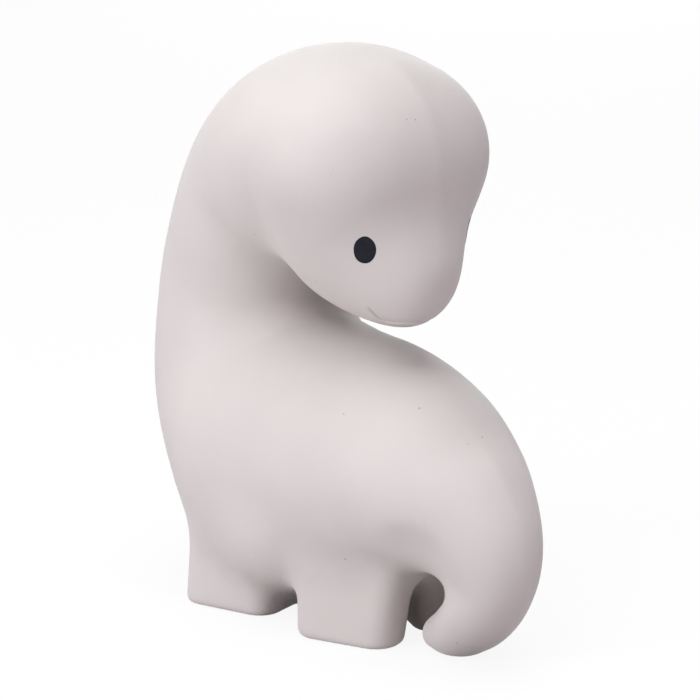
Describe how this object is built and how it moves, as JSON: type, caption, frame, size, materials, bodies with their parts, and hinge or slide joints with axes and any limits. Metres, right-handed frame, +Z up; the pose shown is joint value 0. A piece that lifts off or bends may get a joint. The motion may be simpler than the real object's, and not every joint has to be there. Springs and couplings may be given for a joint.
{
  "type": "rubber animal teether rattle",
  "caption": "Hollow off-white rubber dinosaur teether that stands on stub legs and looks back over its curled tail, with dark oval eyes, a belly plug and a loose rattle capsule inside.",
  "frame": {"origin": "on the ground under the middle of the bounding box, in the plane of symmetry", "axes": "+Z up, +X the way the face looks and the tail lies, -X the way the chest faces, Y across the toy with y = 0 its plane of symmetry"},
  "size_m": [0.0896, 0.0472, 0.1047],
  "materials": {
    "skin_rubber": "matt natural rubber, off-white with a slight warm pink cast",
    "plug_rubber": "matt natural rubber, a shade darker than the skin",
    "eye_paint": "matt blue-black",
    "case_plastic": "smooth moulded plastic, ivory",
    "pellet_plastic": "smooth moulded plastic, amber"
  },
  "bodies": {
    "skin": {"rubber_skin": "skin_rubber", "base_plug": "plug_rubber", "right_eye": "eye_paint", "left_eye": "eye_paint"},
    "rattle_case": {"rattle_case_lower": "case_plastic", "rattle_case_upper": "case_plastic"},
    "pellet_1": {"rattle_pellet_1": "pellet_plastic"},
    "pellet_2": {"rattle_pellet_2": "pellet_plastic"},
    "pellet_3": {"rattle_pellet_3": "pellet_plastic"},
    "pellet_4": {"rattle_pellet_4": "pellet_plastic"},
    "pellet_5": {"rattle_pellet_5": "pellet_plastic"},
    "pellet_6": {"rattle_pellet_6": "pellet_plastic"}
  },
  "joints": [
    {"name": "rattle_case_rise", "type": "slide", "parent": "skin", "child": "rattle_case", "axis": [0, 0, 1], "range_m": [0, 0.0213]},
    {"name": "pellet_1_rise", "type": "slide", "parent": "rattle_case", "child": "pellet_1", "axis": [0, 0, 1], "range_m": [0, 0.0104]},
    {"name": "pellet_2_rise", "type": "slide", "parent": "rattle_case", "child": "pellet_2", "axis": [0, 0, 1], "range_m": [0, 0.0104]},
    {"name": "pellet_3_rise", "type": "slide", "parent": "rattle_case", "child": "pellet_3", "axis": [0, 0, 1], "range_m": [0, 0.0104]},
    {"name": "pellet_4_rise", "type": "slide", "parent": "rattle_case", "child": "pellet_4", "axis": [0, 0, 1], "range_m": [0, 0.0104]},
    {"name": "pellet_5_rise", "type": "slide", "parent": "rattle_case", "child": "pellet_5", "axis": [0, 0, 1], "range_m": [0, 0.0104]},
    {"name": "pellet_6_rise", "type": "slide", "parent": "rattle_case", "child": "pellet_6", "axis": [0, 0, 1], "range_m": [0, 0.0104]}
  ]
}
